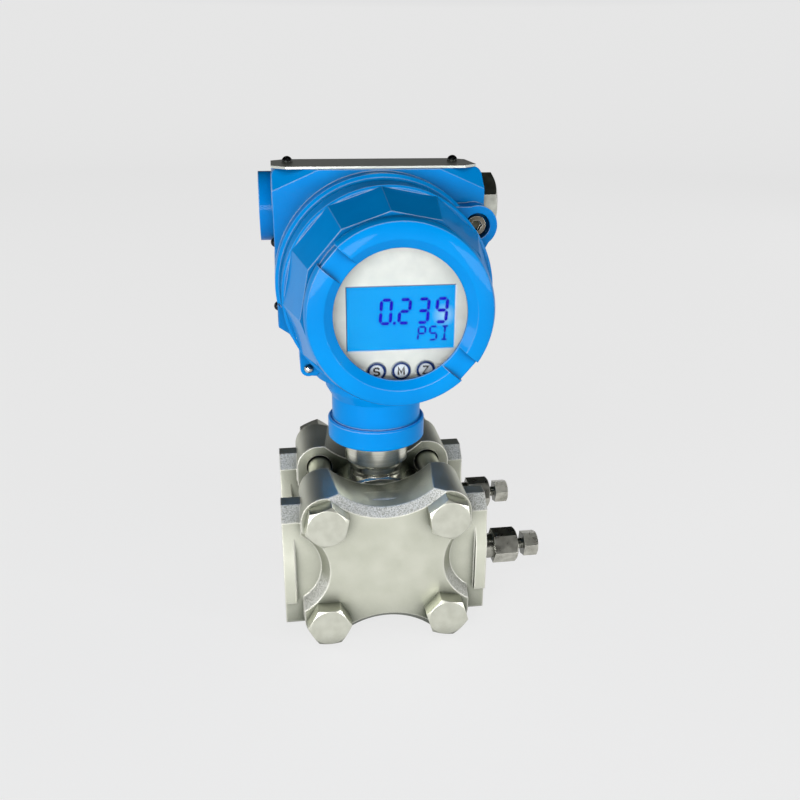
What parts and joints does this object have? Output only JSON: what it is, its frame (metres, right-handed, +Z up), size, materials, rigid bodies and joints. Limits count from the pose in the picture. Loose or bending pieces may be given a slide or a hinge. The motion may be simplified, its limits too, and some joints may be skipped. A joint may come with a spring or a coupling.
{
  "type": "differential pressure transmitter",
  "caption": "Industrial differential pressure transmitter: bolted process flanges, sensor cell and neck, round housing with screwed window cover and lit display.",
  "frame": {"origin": "centre of the four manifold holes, on the face of the process connections", "axes": "-X out of the process ports and manifold holes, -Y towards the display, +Z up along the neck"},
  "size_m": [0.1226, 0.137, 0.2111],
  "materials": {
    "cast_stainless": "matt investment-cast stainless steel",
    "bolt_steel": "bright machined stainless steel",
    "turned_stainless": "turned stainless steel",
    "seal_rubber": "black moulded rubber",
    "blue_housing": "gloss azure coating on die-cast aluminium",
    "window_glass": "clear toughened glass",
    "display_plastic": "dark moulded plastic",
    "faceplate": "silver-white printed plastic",
    "lcd": "lit azure display",
    "keys": "pale moulded plastic",
    "board": "green circuit laminate",
    "terminal_plastic": "black moulded plastic",
    "small_steel": "dark plated steel",
    "bright_screw": "bright stainless steel",
    "brass": "plated brass",
    "tag_steel": "thin stainless sheet",
    "plug_steel": "dark nickel-plated steel"
  },
  "bodies": {
    "process_unit": {"front_process_flange": "cast_stainless", "rear_process_flange": "cast_stainless", "flange_bolts": "bolt_steel", "flange_nuts": "bolt_steel", "sensor_cell": "turned_stainless", "front_flange_gasket": "seal_rubber", "rear_flange_gasket": "seal_rubber", "front_diaphragm": "turned_stainless", "rear_diaphragm": "turned_stainless", "neck_o_ring": "seal_rubber", "front_vent_seat": "turned_stainless", "rear_vent_seat": "turned_stainless"},
    "front_vent": {"front_vent_screw": "turned_stainless"},
    "rear_vent": {"rear_vent_screw": "turned_stainless"},
    "housing": {"housing_casting": "blue_housing", "display_housing": "display_plastic", "display_faceplate": "faceplate", "lcd_panel": "lcd", "electronics_board": "board", "display_screws": "bright_screw", "terminal_block": "terminal_plastic", "terminal_screws": "brass", "ground_screw": "brass", "tag_plate": "tag_steel", "tag_plate_screws": "small_steel", "side_screws": "small_steel", "lower_lug_screw": "small_steel", "cover_clamp_screw": "bright_screw", "swivel_set_screw": "small_steel", "conduit_plug": "plug_steel"},
    "front_seal": {"front_cover_o_ring": "seal_rubber"},
    "front_cover": {"front_cover": "blue_housing", "window_gasket": "seal_rubber", "window_glass": "window_glass", "glass_retaining_ring": "bright_screw"},
    "rear_seal": {"rear_cover_o_ring": "seal_rubber"},
    "rear_cover": {"rear_cover": "blue_housing"},
    "left_key": {"left_key": "keys"},
    "middle_key": {"middle_key": "keys"},
    "right_key": {"right_key": "keys"}
  },
  "joints": [
    {"name": "housing_swivel", "type": "hinge", "parent": "process_unit", "child": "housing", "pos_m": [0.0465, 0, 0.0529], "axis": [0, 0, 1], "range_deg": [-180, 180]},
    {"name": "front_cover_travel", "type": "slide", "parent": "housing", "child": "front_seal", "axis": [0, -1, 0], "range_m": [0, 0.01002]},
    {"name": "front_cover_turn", "type": "hinge", "parent": "front_seal", "child": "front_cover", "pos_m": [0.0465, -0.045, 0.1266], "axis": [0, -1, 0], "range_deg": [0, 1800]},
    {"name": "rear_cover_travel", "type": "slide", "parent": "housing", "child": "rear_seal", "axis": [0, 1, 0], "range_m": [0, 0.01002]},
    {"name": "rear_cover_turn", "type": "hinge", "parent": "rear_seal", "child": "rear_cover", "pos_m": [0.0465, 0.04, 0.1266], "axis": [0, 1, 0], "range_deg": [0, 1800]},
    {"name": "front_vent_turn", "type": "hinge", "parent": "process_unit", "child": "front_vent", "pos_m": [0.093, -0.027, -0.0022], "axis": [1, 0, 0], "range_deg": [0, 720]},
    {"name": "rear_vent_turn", "type": "hinge", "parent": "process_unit", "child": "rear_vent", "pos_m": [0.093, 0.027, -0.0022], "axis": [1, 0, 0], "range_deg": [0, 720]},
    {"name": "left_key_press", "type": "slide", "parent": "housing", "child": "left_key", "axis": [0, 1, 0], "range_m": [0, 0.0005], "stiffness_N_per_m": 2500},
    {"name": "middle_key_press", "type": "slide", "parent": "housing", "child": "middle_key", "axis": [0, 1, 0], "range_m": [0, 0.0005], "stiffness_N_per_m": 2500},
    {"name": "right_key_press", "type": "slide", "parent": "housing", "child": "right_key", "axis": [0, 1, 0], "range_m": [0, 0.0005], "stiffness_N_per_m": 2500}
  ],
  "couplings": [
    {"joint": "front_cover_travel", "follows": "front_cover_turn", "m_per_rad": 0.00031831},
    {"joint": "rear_cover_travel", "follows": "rear_cover_turn", "m_per_rad": 0.00031831}
  ]
}
